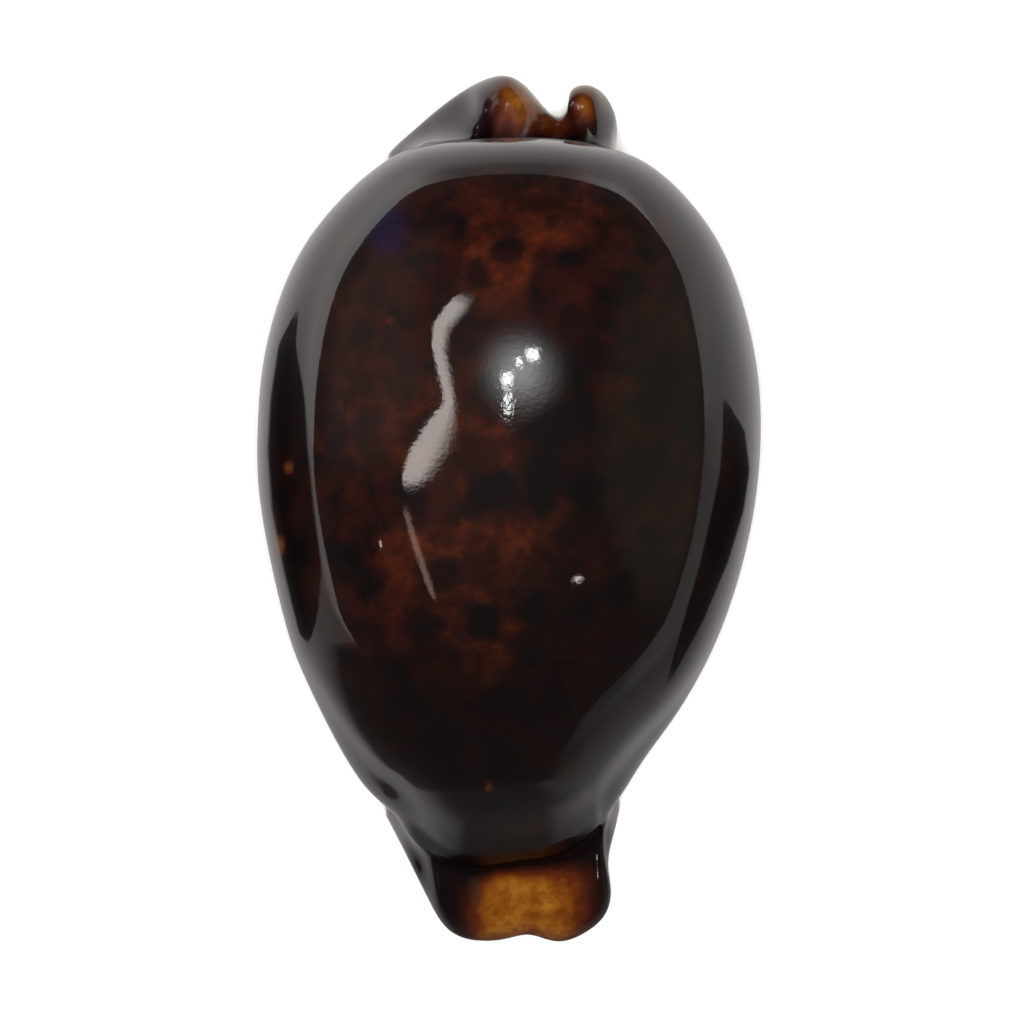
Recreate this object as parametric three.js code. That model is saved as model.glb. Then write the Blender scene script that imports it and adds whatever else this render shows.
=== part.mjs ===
import * as THREE from 'three';

// Panther cowrie shell: a hollow, egg-shaped sea snail shell that lies on its toothed base.
// Millimetres, +Z up, +Y towards the broad hind end, +X on the inner-lip side as seen from above.
// The skin is one bag: columns run from the top of the dome down over the rim, across the base to
// the lip of the slit, through the slit and up inside to the ceiling of the hollow.

// Driving dimensions
const LENGTH = 70;
const WIDTH = 40.5;
const HEIGHT = 33.5;
const WALL = 2.6;
const BASE_THICKNESS = 4.6;
const TOOTH_REACH = 0.4;
const TOOTH_GROOVE = 0.4;
const TEETH_AROUND = 72;

// Dome: its highest point in plan, the height of its widest level, and how it bends at the top
const SUMMIT = [0, 5.5];
const WAIST_HEIGHT = { side: 14, back: 18.5, front: 10.4 };
const FRONT_SLOPE_LATITUDE = 64;
const SHOULDER_BULGE = 0.09;
const TOP_BEND = { across: 0.05, along: 0.0225 };
const DOME_LATITUDES = [14, 28, 42, 55, 67, 79, 90];
const HOLLOW_LATITUDES = [76, 58, 38, 18];

// Flanks of the body in plan, from the front to the back on the right and back again on the left
const RIGHT_FLANK = [
  [10.8, -20.3], [13.1, -17.1], [16.7, -10.6], [19.6, -0.9], [20.3, 6.4],
  [19.9, 12], [18.2, 18.5], [15.65, 23.3], [11.65, 27.35],
];
const LEFT_FLANK = [
  [-10.8, 27.3], [-14.95, 23.3], [-17.9, 18.5], [-19.8, 12], [-20.3, 6.4],
  [-20.1, 0.7], [-18.1, -9], [-16.4, -13.75], [-12, -21.9],
];

// Ends of the dome itself in plan, which the rims stand out from
const DOME_BACK = [[8.2, 28.9], [4.1, 29.6], [-0.5, 29.7], [-7, 29.1]];
const DOME_FRONT = [[-9.6, -24.3], [-6.8, -27], [-3.7, -28.7], [0.2, -28.4], [4.2, -27.7], [7.8, -24.8]];

// Rims of the two canals: plan and height of their outermost line. The hind rim is a broad lobe and a
// narrow hook beside a notch, and the front rim is a blunt snout with a shallow dip.
const BACK_RIM = [
  [9.7, 28.4, 5.2], [8.8, 29, 5.4], [8.7, 30.4, 5.8], [8.5, 32.1, 6.4], [7.5, 33.7, 7], [6.1, 34.25, 7.2],
  [5, 33.8, 7.2], [4.75, 32.6, 6.9], [4.1, 31.7, 6.8], [3.1, 32.2, 7], [1.7, 33.8, 7.6], [0.4, 34.8, 8],
  [-0.8, 35, 7.7], [-2.35, 34.55, 7], [-4.75, 33.1, 6], [-7.85, 30.5, 5.2], [-9.5, 28.8, 5],
];
const FRONT_RIM = [
  [-10.2, -24.2, 5.4], [-8.4, -27.8, 5.2], [-6.4, -31.8, 5.2], [-5.2, -33.7, 5.3], [-3.9, -34.6, 5.4],
  [-2, -34.9, 5.3], [-0.1, -34.7, 5.2], [1.7, -34.4, 5.2], [3.9, -34.95, 5.1], [6.3, -34.15, 5.3],
  [7.8, -32.7, 5.4], [8.2, -30.8, 5.4], [8, -28.7, 5.3], [8.5, -26, 5.2], [9, -23.8, 5.2],
];
const FLANK_RIM_HEIGHT = 5;

// Hind end: the pit of the buried spire, the dip behind the notch, and the ridge beside the pit
const PITS = [{ x: -1.3, width: 1.3, depth: 4.8 }, { x: 4, width: 2.4, depth: 5.6 }];
const RIDGE = { x: -2.1, width: 1.2 };

// Edge of the slit, and the ring where the slit opens into the hollow
const LIP = [
  [2.2, 4, 0.9], [2.95, 12, 0.9], [4.1, 20, 0.9], [5.1, 27, 1.1], [5.15, 30.6, 1.9], [4.85, 32.1, 3.6],
  [4.1, 31, 4.8], [3.15, 32.2, 3.6], [2.7, 30.6, 1.9], [2.05, 27, 1.1], [0.3, 20, 0.9],
  [-1.4, 12, 0.9], [-2.7, 4, 0.9], [-3.55, -4, 0.9], [-3.85, -12, 0.9], [-3.4, -20, 0.9],
  [-2.1, -27, 1.1], [-1, -31.4, 1.9], [-0.2, -33.8, 3.2], [1.8, -33.4, 4.5], [3.8, -33.8, 3.2],
  [4.3, -31.4, 1.9], [3.8, -27, 1.1], [2.8, -20, 0.9], [2, -12, 0.9], [1.9, -4, 0.9],
];
const THROAT = [
  [3.8, 4, 0], [4.6, 12, 0], [5.4, 19, 0.1], [5.2, 23.4, 0.5], [3.3, 25.6, 1], [1.2, 23.4, 0.5],
  [-1.2, 19, 0.1], [-3, 12, 0], [-4.3, 4, 0], [-5.1, -4, 0], [-5.4, -12, 0], [-4.8, -20, 0.1],
  [-2.6, -25.8, 0.5], [1, -27.8, 1], [3.9, -25.8, 0.5], [4.4, -20, 0.1], [3.6, -12, 0], [3.5, -4, 0],
];

// Columns around, and how many of them each stretch of the skin uses
const COLUMNS = 288;
const DOME_COLUMNS = 72;
const RIM_COLUMNS = 144;
const SAMPLES_PER_SPAN = 24;

// How far the body's columns move to the rays that run from the summit to the rim's columns
const RAY_SHARE = 0.85;
const FULL_TURN = 2 * Math.PI;

const clamp = (value) => Math.min(1, Math.max(0, value));
const mix = (a, b, share) => a + (b - a) * share;
const radians = (degrees) => (degrees * Math.PI) / 180;

function easeStep(from, to, value) {
  const share = clamp((value - from) / (to - from));
  return share * share * (3 - 2 * share);
}

function mixPoints(a, b, share) {
  return a.map((value, axis) => mix(value, b[axis], share));
}

function planDistance(a, b) {
  return Math.hypot(a[0] - b[0], a[1] - b[1]);
}

// Gaussian elimination of a small system whose right side has one column for each axis
function solve(matrix, right) {
  const size = matrix.length;
  for (let pivot = 0; pivot < size; pivot++) {
    for (let row = pivot + 1; row < size; row++) {
      const factor = matrix[row][pivot] / matrix[pivot][pivot];
      if (factor === 0) continue;
      for (let column = pivot; column < size; column++) {
        matrix[row][column] -= factor * matrix[pivot][column];
      }
      right[row] = right[row].map((value, axis) => value - factor * right[pivot][axis]);
    }
  }
  for (let row = size - 1; row >= 0; row--) {
    for (let column = row + 1; column < size; column++) {
      right[row] = right[row].map((value, axis) => value - matrix[row][column] * right[column][axis]);
    }
    right[row] = right[row].map((value) => value / matrix[row][row]);
  }
  return right;
}

// Smooth cubic spline through points, with knots spaced by the square root of each chord
function splineThrough(points, closed) {
  const count = points.length;
  const spans = closed ? count : count - 1;
  const step = [];
  for (let i = 0; i < spans; i++) {
    const next = points[(i + 1) % count];
    step.push(Math.sqrt(Math.hypot(...next.map((value, axis) => value - points[i][axis]))));
  }
  const matrix = points.map(() => new Array(count).fill(0));
  const right = points.map((point) => point.map(() => 0));
  points.forEach((point, i) => {
    if (!closed && (i === 0 || i === count - 1)) {
      matrix[i][i] = 1;
      return;
    }
    const before = (i + count - 1) % count;
    const after = (i + 1) % count;
    const stepBefore = step[before];
    const stepAfter = step[i];
    matrix[i][before] += stepBefore;
    matrix[i][i] += 2 * (stepBefore + stepAfter);
    matrix[i][after] += stepAfter;
    right[i] = point.map((value, axis) => {
      const slopeAfter = (points[after][axis] - value) / stepAfter;
      const slopeBefore = (value - points[before][axis]) / stepBefore;
      return 6 * (slopeAfter - slopeBefore);
    });
  });
  const bend = solve(matrix, right);
  return (span, share) => {
    const i = span % count;
    const after = (i + 1) % count;
    const rest = 1 - share;
    const scale = (step[i] * step[i]) / 6;
    return points[i].map((value, axis) => {
      const curved = (rest ** 3 - rest) * bend[i][axis] + (share ** 3 - share) * bend[after][axis];
      return rest * value + share * points[after][axis] + curved * scale;
    });
  };
}

const angleRound = (point) => Math.atan2(point[1] - SUMMIT[1], point[0] - SUMMIT[0]);

// How far a point lies round the summit past a starting angle, from 0 up to a full turn
const turnPast = (start, point) => (angleRound(point) - start + 2 * FULL_TURN) % FULL_TURN;

// The place on an outline where a rising list, with one value for each sample, reaches a value
function placeAt(rising, wanted) {
  let sample = 0;
  while (sample < rising.length - 2 && rising[sample + 1] < wanted) sample++;
  const within = (wanted - rising[sample]) / (rising[sample + 1] - rising[sample]);
  return (sample + within) / SAMPLES_PER_SPAN;
}

// A closed outline read at even steps between its right, back, left and front marks, so that column
// number i starts and ends at matching places on every outline. With a rim given, each place moves
// most of the way to the ray from the summit to the rim's own column.
function columnsAlong(points, marks, rim = null) {
  const curve = splineThrough(points, true);
  const places = [];
  const lengths = [0];
  for (let i = 0; i <= points.length * SAMPLES_PER_SPAN; i++) {
    places.push(curve(Math.floor(i / SAMPLES_PER_SPAN), (i % SAMPLES_PER_SPAN) / SAMPLES_PER_SPAN));
    if (i > 0) {
      const chord = Math.hypot(...places[i].map((value, axis) => value - places[i - 1][axis]));
      lengths.push(lengths[i - 1] + chord);
    }
  }
  const total = lengths[lengths.length - 1];
  const markLengths = marks.map((mark) => lengths[mark * SAMPLES_PER_SPAN]);
  const quarters = markLengths.map((start, i) => {
    const end = i < 3 ? markLengths[i + 1] : markLengths[0] + total;
    return end - start;
  });
  const pace = quarters.map((quarter, i) => {
    const previous = quarters[(i + 3) % 4];
    return (2 * quarter * previous) / (quarter + previous);
  });
  const start = angleRound(places[0]);
  const turns = places.map((place) => turnPast(start, place));
  turns[turns.length - 1] = FULL_TURN;
  return Array.from({ length: COLUMNS }, (_, column) => {
    const turn = (4 * column) / COLUMNS;
    const quarter = Math.floor(turn);
    const share = turn - quarter;
    const startPace = pace[quarter];
    const endPace = pace[(quarter + 1) % 4];
    const cube = share ** 3;
    const square = share ** 2;
    const along = (3 * square - 2 * cube) * quarters[quarter]
      + (cube - 2 * square + share) * startPace + (cube - square) * endPace;
    const evenPlace = placeAt(lengths, (markLengths[quarter] + along) % total);
    const rayPlace = rim ? placeAt(turns, turnPast(start, rim[column])) : evenPlace;
    const round = points.length;
    const ahead = rayPlace - evenPlace - round * Math.round((rayPlace - evenPlace) / round);
    const place = (evenPlace + RAY_SHARE * ahead + round) % round;
    return curve(Math.floor(place), place % 1);
  });
}

// Outlines that the columns follow
function flatOutline(...parts) {
  return parts.flat().map((point) => [point[0], point[1], point[2] ?? FLANK_RIM_HEIGHT]);
}

const RIGHT_MARK = 4;
const BODY_MARKS = [RIGHT_MARK, 10, 17, 25];
const RIM_MARKS = [RIGHT_MARK, 17, 30, 42];
const LIP_MARKS = [0, 6, 12, 19];
const THROAT_MARKS = [0, 4, 8, 13];

const bodyOutline = flatOutline(RIGHT_FLANK, DOME_BACK, LEFT_FLANK, DOME_FRONT);
const rimLine = columnsAlong(flatOutline(RIGHT_FLANK, BACK_RIM, LEFT_FLANK, FRONT_RIM), RIM_MARKS);
const bodyLine = columnsAlong(bodyOutline, BODY_MARKS, rimLine);
const lipLine = columnsAlong(LIP, LIP_MARKS);
const throatLine = columnsAlong(THROAT, THROAT_MARKS);

function towardsSummit(point, distance) {
  const reach = planDistance(point, SUMMIT);
  const share = distance / reach;
  return [mix(point[0], SUMMIT[0], share), mix(point[1], SUMMIT[1], share)];
}

function waistHeight(y) {
  const back = easeStep(8, 29, y);
  const front = easeStep(-6, -29, y);
  const { side, back: backHeight, front: frontHeight } = WAIST_HEIGHT;
  return side + back * (backHeight - side) + front * (frontHeight - side);
}

// A ring of the dome, set in by the wall: near the top an ellipse, lower down the body's outline. Its
// last ring is upright all round, except at the front, where the dome still slopes down to the snout.
function domePoint(edge, latitude, wall) {
  const waist = waistHeight(edge[1]) + wall * 0.4;
  const lastLatitude = mix(90, FRONT_SLOPE_LATITUDE, easeStep(-10, -29, edge[1]));
  const lastCosine = Math.cos(radians(lastLatitude));
  const rise = (HEIGHT - wall - waist) / (1 - lastCosine);
  const angle = Math.atan2(edge[1] - SUMMIT[1], edge[0] - SUMMIT[0]);
  const bend = TOP_BEND.across * Math.cos(angle) ** 2 + TOP_BEND.along * Math.sin(angle) ** 2;
  const round = Math.sqrt(rise / bend) * (1 - wall / 24);
  const outline = (planDistance(edge, SUMMIT) - wall * 1.3) / Math.sin(radians(lastLatitude));
  const turned = radians((latitude * lastLatitude) / 90);
  const bulge = 1 + SHOULDER_BULGE * Math.sin(radians(2 * latitude)) ** 2;
  const reach = mix(round, outline, Math.sin(radians(latitude)) ** 2) * Math.sin(turned) * bulge;
  return [
    SUMMIT[0] + reach * Math.cos(angle),
    SUMMIT[1] + reach * Math.sin(angle),
    waist + rise * (Math.cos(turned) - lastCosine) * bulge,
  ];
}

// How far a rim stands out past the dome: its distance in plan to the nearest place on the body's line
function standsOut(point) {
  const gaps = bodyLine.map((start, i) => {
    const end = bodyLine[(i + 1) % COLUMNS];
    const step = [end[0] - start[0], end[1] - start[1]];
    const along = (point[0] - start[0]) * step[0] + (point[1] - start[1]) * step[1];
    const share = clamp(along / (step[0] ** 2 + step[1] ** 2));
    return planDistance(point, [start[0] + share * step[0], start[1] + share * step[1]]);
  });
  return Math.min(...gaps);
}

const hump = (value, { x, width }) => Math.exp(-(((value - x) / width) ** 2));

// What stands between the dome and a canal rim: how far out the crest lies, how far it rises above the
// rim, and the height where the rim's top meets the dome. In front, the snout has a flat facet.
function endForm(body, rim) {
  if (rim[1] > 0) {
    const ridge = hump(rim[0], RIDGE);
    const between = easeStep(-1.8, 0.4, rim[0]) * easeStep(8.2, 6.8, rim[0]);
    const depth = PITS.reduce((sum, pit) => sum + pit.depth * hump(body[0], pit), 0);
    const share = 0.5 + 0.25 * between - 0.05 * ridge;
    const rise = 3.5 + 2.2 * ridge - 0.4 * between;
    return { share, rise, root: 14.5 - depth };
  }
  const facet = easeStep(-4.2, -1.6, rim[0]) * easeStep(-27.5, -30, rim[1]);
  const corner = easeStep(-30, -33, rim[1]);
  const share = mix(mix(0.5, 0.62, corner), 0.8, facet);
  const rise = mix(mix(2, 3.2, corner), 2, facet);
  return { share, rise, root: mix(9.5, 8.6, facet) };
}

// One column's marks on the rim, base and slit. `end` is 1 where a canal rim stands out past the
// dome and 0 along the flanks, where the wall simply rounds under, and `stand` rises sooner.
function rimAndBase(column) {
  const body = bodyLine[column];
  const rim = rimLine[column];
  const lip = lipLine[column];
  const throat = throatLine[column];
  const out = standsOut(rim);
  const end = easeStep(0.35, 2.3, out);
  const stand = easeStep(0.1, 0.5, out);
  const form = endForm(body, rim);
  const width = planDistance(rim, lip);
  const underDome = towardsSummit(body, mix(0.5, rim[1] > 0 ? 0 : -0.4, end));
  const crest = towardsSummit(mixPoints(body, rim, mix(1, form.share, end)), mix(1.1, 0, stand));
  const edge = towardsSummit(rim, mix(2.1, 0, stand));
  const crestRise = Math.min(form.rise, 0.3 + 1.1 * out);
  const across = (share) => mixPoints(edge, lip, share);
  const towardsSlit = [(lip[0] - rim[0]) / width, (lip[1] - rim[1]) / width];
  const toothMask = easeStep(29.5, 25.5, lip[1]) * easeStep(-31.5, -28, lip[1]);
  const wave = Math.cos((TEETH_AROUND * 2 * Math.PI * column) / COLUMNS);
  const groove = TOOTH_GROOVE * toothMask * (0.5 - 0.5 * wave);
  const tooth = (point, reach) => point.map((value, axis) => (
    value + towardsSlit[axis] * reach * wave * toothMask
  ));
  const near = (distance) => across(Math.max(1 - distance / width, mix(0.55, 0.75, end)));
  const lipPlan = lip.slice(0, 2);
  const middlePlan = mixPoints(lipPlan, throat.slice(0, 2), 0.25);
  const throatHeight = throat[2] + BASE_THICKNESS;
  return [
    [...underDome, mix(8.6, form.root, end)],
    [...crest, mix(5.2, rim[2] + crestRise, end)],
    [...edge, mix(2.6, rim[2], end)],
    [...across(mix(0.2, 0.28, end)).slice(0, 2), mix(0.75, mix(rim[2], lip[2], 0.62), end)],
    [...across(mix(0.46, 0.55, end)).slice(0, 2), mix(-0.3, mix(1.2, lip[2], 0.5), end)],
    [...near(3.4).slice(0, 2), mix(-0.15, lip[2] * 0.75, end) + groove * 0.3],
    [...near(1.3).slice(0, 2), mix(0.12, lip[2] * 0.85, end) + groove],
    [...tooth(lipPlan, TOOTH_REACH), lip[2] + groove * 0.6],
    [...tooth(middlePlan, TOOTH_REACH * 0.7), mix(lip[2], throatHeight, 0.5)],
    [...throat.slice(0, 2), throatHeight],
  ];
}

// Inside of the hollow above its floor
function hollowRings(column) {
  const body = bodyLine[column];
  const throat = throatLine[column];
  const floor = mixPoints(throat, body, 0.42);
  const corner = towardsSummit(body, 5.2);
  return [
    [floor[0], floor[1], BASE_THICKNESS + 1.1],
    [...corner, 9.4],
    ...HOLLOW_LATITUDES.map((latitude) => domePoint(body, latitude, WALL)),
  ];
}

// The named points down one column. Two rings from the far side of each pole keep the poles round.
const opposite = (column) => (column + COLUMNS / 2) % COLUMNS;
const top = [...SUMMIT, HEIGHT];
const ceiling = [...SUMMIT, HEIGHT - WALL];

function columnPoints(column) {
  const far = opposite(column);
  return [
    ...DOME_LATITUDES.slice(0, 2).reverse().map((latitude) => domePoint(bodyLine[far], latitude, 0)),
    top,
    ...DOME_LATITUDES.map((latitude) => domePoint(bodyLine[column], latitude, 0)),
    ...rimAndBase(column),
    ...hollowRings(column),
    ceiling,
    ...HOLLOW_LATITUDES.slice(-2).reverse().map((latitude) => domePoint(bodyLine[far], latitude, WALL)),
  ];
}

// Rows of the skin: for each span between named points, how many rows and how many columns it has
const POLE = 2;
const ROW_PLAN = [
  { spans: [2, 3, 4, 5, 6, 7], rows: 1, columns: DOME_COLUMNS },
  { spans: [8], rows: 2, columns: RIM_COLUMNS },
  { spans: [9, 10], rows: 2, columns: COLUMNS },
  { spans: [11], rows: 1, columns: COLUMNS },
  { spans: [12, 13], rows: 1, columns: RIM_COLUMNS },
  { spans: [14, 15, 16, 17, 18], rows: 1, columns: COLUMNS },
  { spans: [19], rows: 1, columns: RIM_COLUMNS },
  { spans: [20, 21, 22, 23, 24], rows: 1, columns: DOME_COLUMNS },
];

function skinRows() {
  const curves = bodyLine.map((_, column) => splineThrough(columnPoints(column), false));
  const rows = [];
  for (const { spans, rows: rowsPerSpan, columns } of ROW_PLAN) {
    const stride = COLUMNS / columns;
    for (const span of spans) {
      for (let row = 1; row <= rowsPerSpan; row++) {
        rows.push(Array.from({ length: columns }, (_, i) => curves[i * stride](span, row / rowsPerSpan)));
      }
    }
  }
  return rows;
}

// Triangles between two rings, of which one may have a whole number of times the other's columns
function bandTriangles(inner, outer) {
  const triangles = [];
  const cells = Math.min(inner.length, outer.length);
  const innerStep = inner.length / cells;
  const outerStep = outer.length / cells;
  const innerMiddle = Math.ceil(innerStep / 2);
  const outerMiddle = Math.ceil(outerStep / 2);
  const at = (ring, i) => ring[i % ring.length];
  const farSide = (i, middle) => (i < middle ? 0 : 1);
  for (let cell = 0; cell < cells; cell++) {
    const innerStart = cell * innerStep;
    const outerStart = cell * outerStep;
    for (let i = 0; i < outerStep; i++) {
      const apex = innerStep > 1 ? innerMiddle : farSide(i, outerMiddle);
      const outerFirst = outerStart + i;
      triangles.push([at(inner, innerStart + apex), at(outer, outerFirst), at(outer, outerFirst + 1)]);
    }
    for (let i = 0; i < innerStep; i++) {
      const narrowing = innerStep > 1 ? farSide(i, innerMiddle) : 1;
      const apex = outerStep > 1 ? outerMiddle : narrowing;
      const innerFirst = innerStart + i;
      triangles.push([at(inner, innerFirst), at(outer, outerStart + apex), at(inner, innerFirst + 1)]);
    }
  }
  return triangles;
}

// Rests on z = 0 and has exactly the driving length, width and height
function fitToSize(points) {
  points.forEach((point) => {
    point[2] = Math.max(point[2], 0);
  });
  const sizes = [WIDTH, LENGTH, HEIGHT];
  sizes.forEach((size, axis) => {
    const values = points.map((point) => point[axis]);
    const low = Math.min(...values);
    const high = Math.max(...values);
    const start = axis === 2 ? 0 : -size / 2;
    points.forEach((point) => {
      point[axis] = start + ((point[axis] - low) / (high - low)) * size;
    });
  });
}

function shellGeometry() {
  const points = [];
  const addPoint = (point) => points.push([...point]) - 1;
  const topIndex = addPoint(top);
  const rings = skinRows().map((row) => row.map(addPoint));
  const ceilingIndex = addPoint(ceiling);
  const indices = [];
  const first = rings[0];
  const last = rings[rings.length - 1];
  first.forEach((vertex, i) => indices.push(topIndex, vertex, first[(i + 1) % first.length]));
  for (let i = 1; i < rings.length; i++) indices.push(...bandTriangles(rings[i - 1], rings[i]).flat());
  last.forEach((vertex, i) => indices.push(ceilingIndex, last[(i + 1) % last.length], vertex));
  fitToSize(points);
  const geometry = new THREE.BufferGeometry();
  geometry.setAttribute('position', new THREE.Float32BufferAttribute(points.flat(), 3));
  geometry.setIndex(indices);
  geometry.computeVertexNormals();
  return geometry;
}

const enamel = new THREE.MeshStandardMaterial({ color: 0x2a120d, roughness: 0.08, metalness: 0 });
const shell = new THREE.Mesh(shellGeometry(), enamel);
shell.name = 'shell';

const cowrie = new THREE.Group();
cowrie.add(shell);

export default cowrie;
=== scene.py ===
import math

import bpy
import numpy as np
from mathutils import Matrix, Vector


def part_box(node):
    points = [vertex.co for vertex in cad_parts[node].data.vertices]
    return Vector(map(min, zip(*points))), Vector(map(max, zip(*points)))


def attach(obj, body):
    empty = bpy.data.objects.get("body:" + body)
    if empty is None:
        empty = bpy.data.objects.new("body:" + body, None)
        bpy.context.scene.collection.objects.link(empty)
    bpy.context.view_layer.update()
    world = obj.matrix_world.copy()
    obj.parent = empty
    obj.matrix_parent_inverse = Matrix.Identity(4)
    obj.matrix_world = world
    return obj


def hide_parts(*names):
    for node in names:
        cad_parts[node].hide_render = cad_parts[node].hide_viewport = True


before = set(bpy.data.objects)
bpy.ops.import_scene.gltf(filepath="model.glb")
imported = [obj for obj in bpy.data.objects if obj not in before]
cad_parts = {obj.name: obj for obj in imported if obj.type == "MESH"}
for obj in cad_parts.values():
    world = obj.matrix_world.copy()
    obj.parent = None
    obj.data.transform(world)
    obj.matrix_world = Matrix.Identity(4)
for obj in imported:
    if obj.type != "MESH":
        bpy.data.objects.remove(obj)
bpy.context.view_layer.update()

# A panther cowrie shell that lies on its base, seen from straight above.
# The skin is worked out in millimetres, +Z up, +Y towards the hind end, and is made in metres.
MM = 0.001

# Driving sizes, in millimetres
CAD_LOW, CAD_HIGH = [np.array(corner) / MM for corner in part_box("shell")]
HEIGHT = CAD_HIGH[2] - CAD_LOW[2]
WALL = 2.6
BASE_THICKNESS = 4.6
TOOTH_REACH = 0.4
TOOTH_GROOVE = 0.4
TEETH_AROUND = 72

# Dome: its highest point in plan, the height of its widest level, and how it bends at the top
SUMMIT = np.array([0, 5.5])
WAIST_SIDE, WAIST_BACK, WAIST_FRONT = 14, 18.5, 10.4
FRONT_SLOPE_LATITUDE = 64
SHOULDER_BULGE = 0.09
BEND_ACROSS, BEND_ALONG = 0.05, 0.0225
DOME_LATITUDES = [14, 28, 42, 55, 67, 79, 90]
HOLLOW_LATITUDES = [76, 58, 38, 18]

# Flanks of the body in plan, from the front to the back on the right and back again on the left
RIGHT_FLANK = [
    [10.8, -20.3], [13.1, -17.1], [16.7, -10.6], [19.6, -0.9], [20.3, 6.4],
    [19.9, 12], [18.2, 18.5], [15.65, 23.3], [11.65, 27.35],
]
LEFT_FLANK = [
    [-10.8, 27.3], [-14.95, 23.3], [-17.9, 18.5], [-19.8, 12], [-20.3, 6.4],
    [-20.1, 0.7], [-18.1, -9], [-16.4, -13.75], [-12, -21.9],
]

# Ends of the dome itself in plan, which the rims stand out from
DOME_BACK = [[8.2, 28.9], [4.1, 29.6], [-0.5, 29.7], [-7, 29.1]]
DOME_FRONT = [[-9.6, -24.3], [-6.8, -27], [-3.7, -28.7], [0.2, -28.4], [4.2, -27.7], [7.8, -24.8]]

# Rims of the two canals: plan and height of their outermost line
BACK_RIM = [
    [9.7, 28.4, 5.2], [8.8, 29, 5.4], [8.7, 30.4, 5.8], [8.5, 32.1, 6.4], [7.5, 33.7, 7], [6.1, 34.25, 7.2],
    [5, 33.8, 7.2], [4.75, 32.6, 6.9], [4.1, 31.7, 6.8], [3.1, 32.2, 7], [1.7, 33.8, 7.6], [0.4, 34.8, 8],
    [-0.8, 35, 7.7], [-2.35, 34.55, 7], [-4.75, 33.1, 6], [-7.85, 30.5, 5.2], [-9.5, 28.8, 5],
]
FRONT_RIM = [
    [-10.2, -24.2, 5.4], [-8.4, -27.8, 5.2], [-6.4, -31.8, 5.2], [-5.2, -33.7, 5.3], [-3.9, -34.6, 5.4],
    [-2, -34.9, 5.3], [-0.1, -34.7, 5.2], [1.7, -34.4, 5.2], [3.9, -34.95, 5.1], [6.3, -34.15, 5.3],
    [7.8, -32.7, 5.4], [8.2, -30.8, 5.4], [8, -28.7, 5.3], [8.5, -26, 5.2], [9, -23.8, 5.2],
]
FLANK_RIM_HEIGHT = 5

# Hind end: the pit of the buried spire and the dip behind the notch (place across, width, depth), and
# the ridge beside the pit
PITS = [(-1.3, 1.3, 4.8), (4, 2.4, 5.6)]
RIDGE_X, RIDGE_WIDTH = -2.1, 1.2

# Edge of the slit, and the ring where the slit opens into the hollow
LIP = [
    [2.2, 4, 0.9], [2.95, 12, 0.9], [4.1, 20, 0.9], [5.1, 27, 1.1], [5.15, 30.6, 1.9], [4.85, 32.1, 3.6],
    [4.1, 31, 4.8], [3.15, 32.2, 3.6], [2.7, 30.6, 1.9], [2.05, 27, 1.1], [0.3, 20, 0.9],
    [-1.4, 12, 0.9], [-2.7, 4, 0.9], [-3.55, -4, 0.9], [-3.85, -12, 0.9], [-3.4, -20, 0.9],
    [-2.1, -27, 1.1], [-1, -31.4, 1.9], [-0.2, -33.8, 3.2], [1.8, -33.4, 4.5], [3.8, -33.8, 3.2],
    [4.3, -31.4, 1.9], [3.8, -27, 1.1], [2.8, -20, 0.9], [2, -12, 0.9], [1.9, -4, 0.9],
]
THROAT = [
    [3.8, 4, 0], [4.6, 12, 0], [5.4, 19, 0.1], [5.2, 23.4, 0.5], [3.3, 25.6, 1], [1.2, 23.4, 0.5],
    [-1.2, 19, 0.1], [-3, 12, 0], [-4.3, 4, 0], [-5.1, -4, 0], [-5.4, -12, 0], [-4.8, -20, 0.1],
    [-2.6, -25.8, 0.5], [1, -27.8, 1], [3.9, -25.8, 0.5], [4.4, -20, 0.1], [3.6, -12, 0], [3.5, -4, 0],
]

# Where the right, back, left and front marks stand in each outline, and how far the body's columns move
# to the rays that run from the summit to the rim's columns
BODY_MARKS = [4, 10, 17, 25]
RIM_MARKS = [4, 17, 30, 42]
LIP_MARKS = [0, 6, 12, 19]
THROAT_MARKS = [0, 4, 8, 13]
RAY_SHARE = 0.85

# Grid of the skin: columns around, and rows in each span between two named rings, from the top down
COLUMNS = 576
ROWS_IN_SPAN = [8] * 7 + [10, 12, 10, 8, 8, 8, 8, 7, 6, 6, 4, 3, 3, 3, 3, 3]
SAMPLES_PER_SPAN = 40

# Numbers of the named rings, which the skin's "ring" attribute counts from the top of the dome
TOP_RING, WAIST_RING, CREST_RING, EDGE_RING, LIP_RING, THROAT_RING = 0, 7, 9, 10, 15, 17

# The photograph's frame: its middle, its scale at the level of the rims, and the camera that looks
# straight down at it
FRAME_PIXELS = 1024
MIDDLE_PIXEL = 509
PIXEL = 70 / 866
CAMERA_HEIGHT = 1500
SCALE_LEVEL = 7
SENSOR = 36

# Pixels of the photograph that the reflections of the black cards and the window cover
LEFT_STRIP_OUTER = [
    (301, 310), (283, 345), (274, 400), (271, 450), (275, 510), (287, 570), (303, 632), (312, 642),
]
LEFT_STRIP_INNER = [
    (303, 310), (300, 345), (309, 400), (312, 450), (318, 510), (326, 570), (320, 620), (313, 642),
]
RIGHT_STRIP_OUTER = [(722, 398), (741, 430), (746, 470), (740, 510), (725, 560), (700, 620), (664, 685)]
RIGHT_STRIP_INNER = [(720, 398), (719, 430), (716, 470), (708, 510), (697, 560), (680, 620), (662, 683)]
WINDOW_PANES = [(518, 361, 4, 5), (532, 354, 8, 8), (507, 378, 7, 9), (507, 400, 4, 12)]
CURTAIN_LEFT = [
    (463, 292), (447, 305), (434, 324), (433, 345), (438, 372), (445, 400), (428, 420), (410, 448),
    (402, 475), (404, 490),
]
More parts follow.
